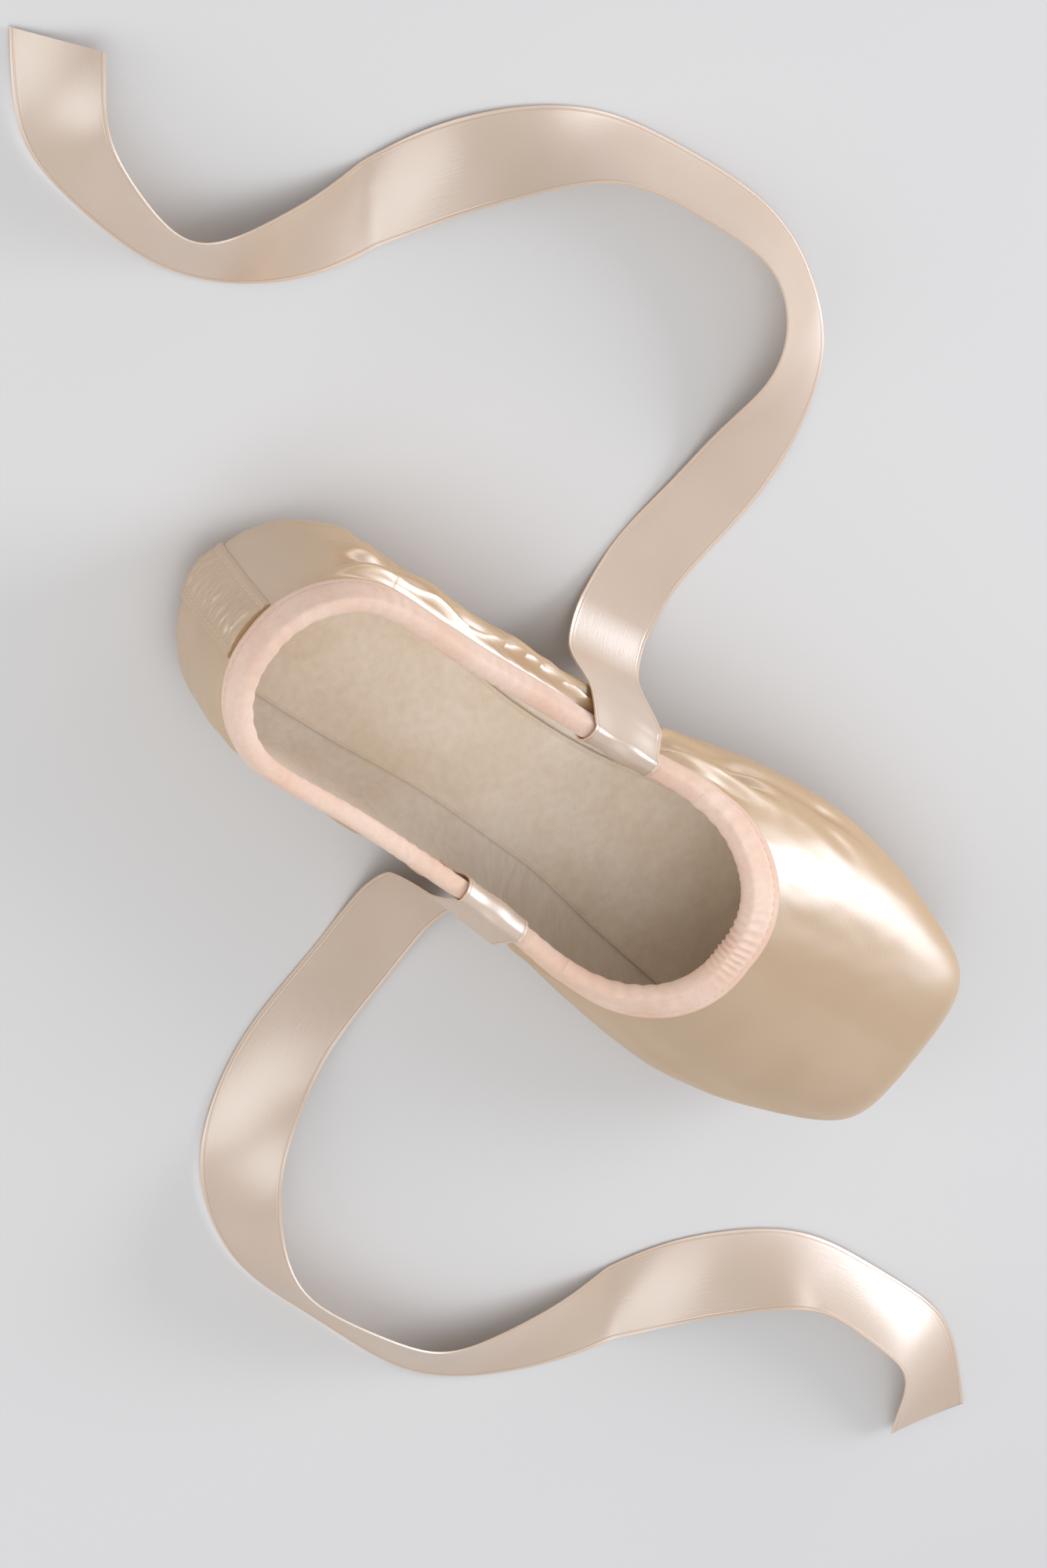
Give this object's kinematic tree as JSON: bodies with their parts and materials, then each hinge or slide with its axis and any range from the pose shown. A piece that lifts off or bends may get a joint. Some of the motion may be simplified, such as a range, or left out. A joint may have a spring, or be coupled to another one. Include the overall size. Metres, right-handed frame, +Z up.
{
  "type": "pointe shoe",
  "caption": "Ballet pointe shoe with a satin box and quarters, drawstring binding, leather sole and loose satin ribbons.",
  "frame": {"origin": "on the floor, under the middle of the shoe; the ribbons are left out of this", "axes": "the toe points to -Y, the heel to +Y, and +Z is up"},
  "size_m": [0.2981, 0.457, 0.059],
  "materials": {
    "satin": "peach satin with a broad sheen",
    "tape": "matte cotton tape",
    "leather": "smooth buff leather",
    "lining": "plain cream cotton"
  },
  "bodies": {
    "root": {"upper": "satin", "collar_binding": "tape", "outsole": "leather", "insole": "lining", "heel_strip": "satin", "ribbon_outer": "satin", "ribbon_inner": "satin"}
  },
  "joints": []
}
